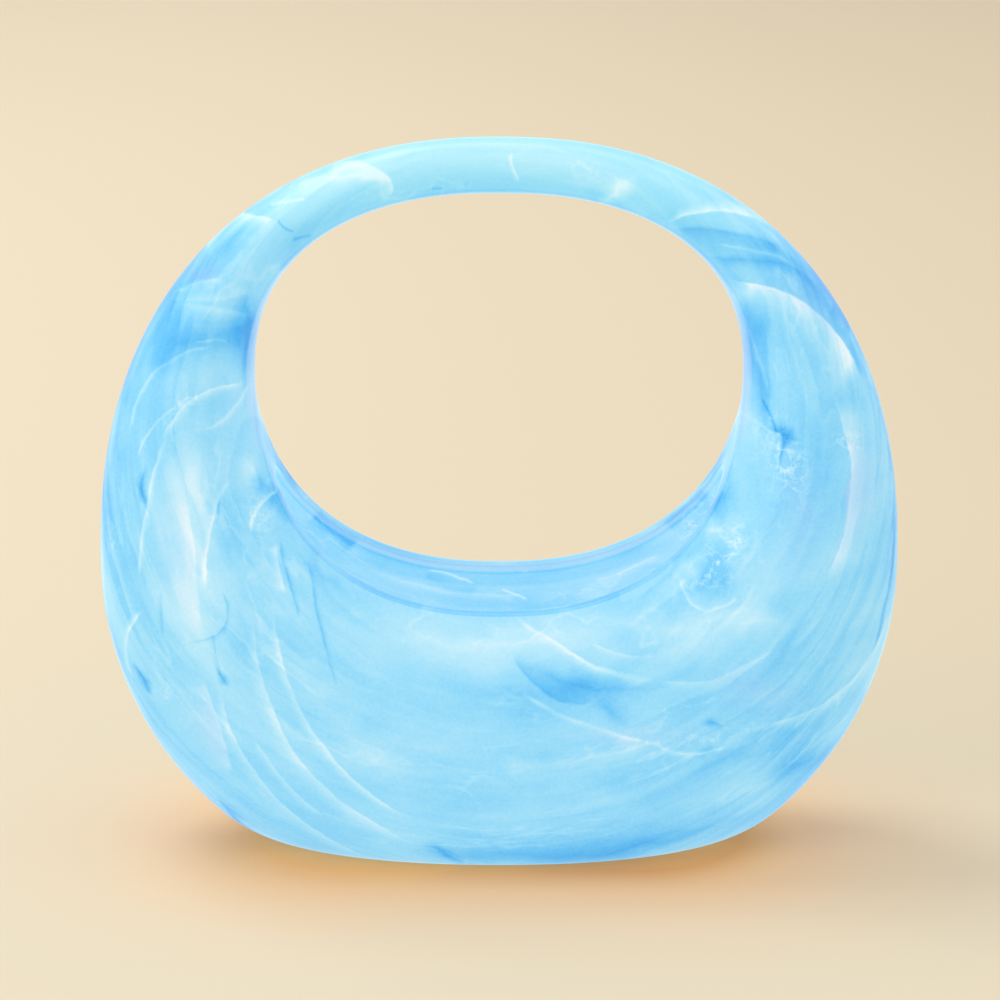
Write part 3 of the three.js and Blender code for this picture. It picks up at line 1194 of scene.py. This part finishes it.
    def _milk(self, ground: Ground, cloud: Number, crown: Number) -> Number:
        """Adds up the milk.

        Args:
            ground: What the marbling is laid out on.
            cloud: A broad noise about 0.5.
            crown: 1 on top of the handle.

        Returns:
            The milk, which is 0 where the acrylic is deep blue and 1 where it is white.
        """
        broad, _, patches = self.broad.read(ground)
        sides = abs(ground.angle.cosine()).rise(*self.sides)
        lines = self._lines(ground, HANDLE_STREAKS + SHOULDER_STREAKS + BODY_STREAKS)
        strength = self.faintest_line + (1 - self.faintest_line) * patches.rise(*self.line_patches)
        outside = lines * strength + self._pools(ground, POOLS)
        drawn_on = outside * (1 - ground.wall * self.hidden_on_wall)
        on_wall = self._lines(ground, WALL_STREAKS) * ground.wall
        broad_milk = (broad - 0.5) * (self.broad_amount + self.broad_side_amount * sides)
        cloud_milk = (cloud - 0.5) * self.cloud_amount
        sheets_shown = self.sheets_share + (1 - self.sheets_share) * sides
        sheets = self.sheets.milk(ground, patches) * sheets_shown
        knots = self._pools(ground, LACE)
        fine = self.hairs.milk(ground) + self.lace.milk(ground, knots)
        top = crown * (ground.from_edge.rise(*self.top_light) * self.top_light_amount - self.top_light_mean)
        marbling = drawn_on + on_wall + broad_milk + cloud_milk + sheets + fine
        return marbling + top + self._edges(ground) + self.mouth.milk(ground) + self.base_amount

    def _edges(self, ground: Ground) -> Number:
        """Gives painted shade: bluer lines along the bag's outline, and a deeper blue along the outline at
        the foot.
        """
        edge = ground.from_edge
        line = edge.rise(*self.outline_shade) * self.outline_shade_amount
        foot = edge.rise(*self.foot_outline_shade) * ground.low * self.foot_outline_shade_amount
        second_shade_line = edge.band(*self.second_outline_shade) * self.second_outline_shade_amount
        return line + second_shade_line + foot

    def _lines(self, ground: Ground, streaks: Sequence[Streak]) -> Number:
        """Adds up streaks that are crisp and keep their width until near their ends."""
        return self._streaks(ground.bench, (ground.x, ground.z), streaks, self.line_fullness)

    def _pools(self, ground: Ground, streaks: Sequence[Streak]) -> Number:
        """Adds up streaks that are ragged and taper all the way."""
        return self._streaks(ground.bench, (ground.ragged_x, ground.ragged_z), streaks, self.pool_fullness)

    def _streaks(
        self, bench: Bench, at: tuple[Number, Number], streaks: Sequence[Streak], fullness: float
    ) -> Number:
        """Adds up streaks. They go in threes, one on each number of a Triple.

        Args:
            bench: The material's bench.
            at: The place across and up, in millimetres.
            streaks: The streaks.
            fullness: 1 for streaks that taper all the way, and more where they taper near their ends.

        Returns:
            The sum of their amounts.
        """
        across, up = (bench.triple(number, number, number) for number in at)
        threes = (streaks[first:first + 3] for first in range(0, len(streaks), 3))
        return sum(self._three(across, up, three, fullness) for three in threes)

    def _three(self, across: Triple, up: Triple, streaks: Sequence[Streak], fullness: float) -> Number:
        """Adds up no more than three streaks.

        Args:
            across: The place across, three times.
            up: The place up, three times.
            streaks: The streaks.
            fullness: How far they keep their width.

        Returns:
            The sum of their amounts.
        """
        missing = 3 - len(streaks)
        weights = [streak.amount for streak in streaks] + [0.0] * missing
        three = [*streaks, *[streaks[-1]] * missing]
        starts = [streak.seen((0.0, 0.0)) for streak in three]
        along = across.times_plus(
            [s.way[0] / s.half_length for s in three],
            up.times_plus([s.way[1] / s.half_length for s in three], [start[0] for start in starts]),
        )
        aside = across.times_plus(
            [-s.way[1] for s in three],
            up.times_plus([s.way[0] for s in three], [start[1] for start in starts]),
        )
        left_over = (along * along).times_plus(thrice(-1.0), thrice(1.0))
        taper = (left_over * thrice(fullness)).at_most(thrice(1.0))
        offset = left_over.times_plus([-s.bow for s in three], aside)
        left = offset.times_plus([-1 / (self.softness * s.left) for s in three], taper)
        right = offset.times_plus([1 / (self.softness * s.right) for s in three], taper)
        part = left.at_most(right).at_least(thrice(0.0))
        return (part * part).weighed(weights)


@dataclass(frozen=True)
class StudioPaper:
    """The matt beige paper that the bag stands on.

    It is a little darker to the back right, a painted shade where the lamps' light falls off. Around the
    foot, a painted warm shadow and a painted warm glow stand in for light that comes down on it through the
    acrylic, and a painted brown contact shadow lies where the bag touches it, most so on the right, away
    from the lights.
    """

    name: str = "studio_paper"
    roughness: float = 0.9
    # The paper as lit, and in painted shade towards the back right.
    light: Colour = (235, 220, 192)
    shade: Colour = (218, 203, 174)
    shade_across: Span = (-500.0, 900.0)
    shade_back: Span = (-200.0, 200.0)
    shade_in_front: float = 0.3
    foot_half_length: float = 45.0
    foot_half_width: float = 36.0
    # A painted warm shadow and a painted warm glow around the foot.
    warm_shadow_colour: Colour = (229, 174, 106)
    warm_light: tuple[float, float, float, float] = (0.30, 0.09, 0.01, 1.0)
    warm_reach: float = 125.0
    warm_share: float = 0.3
    warm_gain: float = 0.62
    # A painted brown contact shadow where the bag touches the paper.
    contact_shadow_colour: Colour = (150, 100, 50)
    contact_shadow_reach: float = 20.0
    contact_shadow_share: float = 0.1
    contact_shadow_gain: float = 0.35
    contact_shadow_across: Span = (-60.0, 60.0)

    def material(self) -> bpy.types.Material:
        """Builds the material.

        Returns:
            The material, with its shades in millimetres on Object coordinates.
        """
        bench = Bench(self.name)
        x, y, _ = bench.parts(bench.place())
        beyond = (abs(x) - self.foot_half_length).at_least(0.0)
        distance = ((beyond * beyond + y * y) ** 0.5 - self.foot_half_width).at_least(0.0)
        # Painted warm shadow and glow, fading out from the foot.
        warm_light_and_shadow = (1 - distance / self.warm_reach).at_least(0.0) ** 2.0
        # Painted contact shadow, strongest on the right.
        contact_mask = (1 - distance / self.contact_shadow_reach).at_least(0.0) ** 2.0
        contact_shadow = contact_mask * (self.contact_shadow_share + self.contact_shadow_gain * x.rise(*self.contact_shadow_across))
        behind = self.shade_in_front + (1 - self.shade_in_front) * y.rise(*self.shade_back)
        shade = x.rise(*self.shade_across) * behind
        warm_shadow_amount = warm_light_and_shadow * (self.warm_share + self.warm_gain * warm_light_and_shadow)
        paper = bench.mix(shade, screen_colour(*self.light), screen_colour(*self.shade))
        warm_shadowed_paper = bench.mix(warm_shadow_amount, paper, screen_colour(*self.warm_shadow_colour))
        inputs = {
            "Base Color": bench.mix(contact_shadow, warm_shadowed_paper, screen_colour(*self.contact_shadow_colour)),
            "Roughness": self.roughness,
            "Emission Color": bench.mix(warm_light_and_shadow, BLACK, self.warm_light),
            "Emission Strength": 1.0,
        }
        return bench.surfaced(inputs)


# The studio


@dataclass(frozen=True)
class SoftLight:
    """A square soft light: where it hangs, the length of its sides, and its power in watts."""

    name: str
    place: tuple[float, float, float]
    size: float
    power: float

    def hang(self, aim: Vector) -> None:
        """Hangs the light and points it at a place."""
        data = bpy.data.lights.new(self.name, "AREA")
        data.shape = "SQUARE"
        data.size = self.size
        data.energy = self.power
        lamp = bpy.data.objects.new(self.name, data)
        lamp.location = self.place
        lamp.rotation_euler = (aim - lamp.location).to_track_quat("-Z", "Y").to_euler()
        bpy.context.scene.collection.objects.link(lamp)


@dataclass
class Studio:
    """The floor, the lights and the camera."""

    elevation: float = math.radians(14)
    distance: float = 1.2
    aim: tuple[float, float, float] = (0.0003, 0.0, 0.115)
    frame_pixels: int = 1000
    metres_per_pixel: float = 0.3258 * MM
    sensor: float = 36.0
    floor_radius: float = 6.0
    floor_corners: int = 96
    world_colour: Colour = (255, 253, 250)
    world_strength: float = 0.80
    key: SoftLight = SoftLight("key_light", (-1.3, 0.9, 3.0), 1.6, 30.0)
    fill: SoftLight = SoftLight("fill_light", (-3.4, -3.0, 2.2), 2.5, 37.0)

    def build(self) -> None:
        """Sets up everything that isn't the bag."""
        self._floor()
        self._world()
        self.key.hang(Vector(self.aim))
        self.fill.hang(Vector(self.aim))
        self._camera()
        bpy.context.scene.view_settings.view_transform = "Standard"

    def _floor(self) -> None:
        """Lays the paper."""
        mesh = bmesh.new()
        bmesh.ops.create_circle(mesh, cap_ends=True, segments=self.floor_corners, radius=self.floor_radius)
        data = bpy.data.meshes.new("studio_floor")
        mesh.to_mesh(data)
        mesh.free()
        data.materials.append(StudioPaper().material())
        floor = bpy.data.objects.new("studio_floor", data)
        bpy.context.scene.collection.objects.link(floor)

    def _world(self) -> None:
        """Lights the room evenly."""
        world = bpy.data.worlds.new("studio_room")
        world.use_nodes = True
        background = world.node_tree.nodes["Background"]
        background.inputs["Color"].default_value = screen_colour(*self.world_colour)
        background.inputs["Strength"].default_value = self.world_strength
        bpy.context.scene.world = world

    def _camera(self) -> None:
        """Sets up the camera at the photograph's angle."""
        data = bpy.data.cameras.new("camera")
        data.sensor_width = self.sensor
        data.lens = self.sensor * self.distance / (self.frame_pixels * self.metres_per_pixel)
        camera = bpy.data.objects.new("camera", data)
        away = Vector((0.0, -math.cos(self.elevation), math.sin(self.elevation)))
        camera.location = Vector(self.aim) + away * self.distance
        camera.rotation_euler = (math.pi / 2 - self.elevation, 0.0, 0.0)
        bpy.context.scene.collection.objects.link(camera)
        bpy.context.scene.camera = camera


def main() -> None:
    """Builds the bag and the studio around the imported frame."""
    logging.basicConfig(level=logging.INFO, format="%(name)s: %(message)s")
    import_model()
    low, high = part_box(SHELL_NODE)
    width, depth, height = high - low
    shell = CrescentShell(CrescentForm(width=width, height=height, depth=depth))
    piece = shell.build()
    piece.data.materials.append(MarbledAcrylic().material())
    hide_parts(SHELL_NODE)
    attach(piece, BODY)
    log.info("%s: %d faces", piece.name, len(piece.data.polygons))
    Studio().build()


if __name__ == "__main__":
    main()
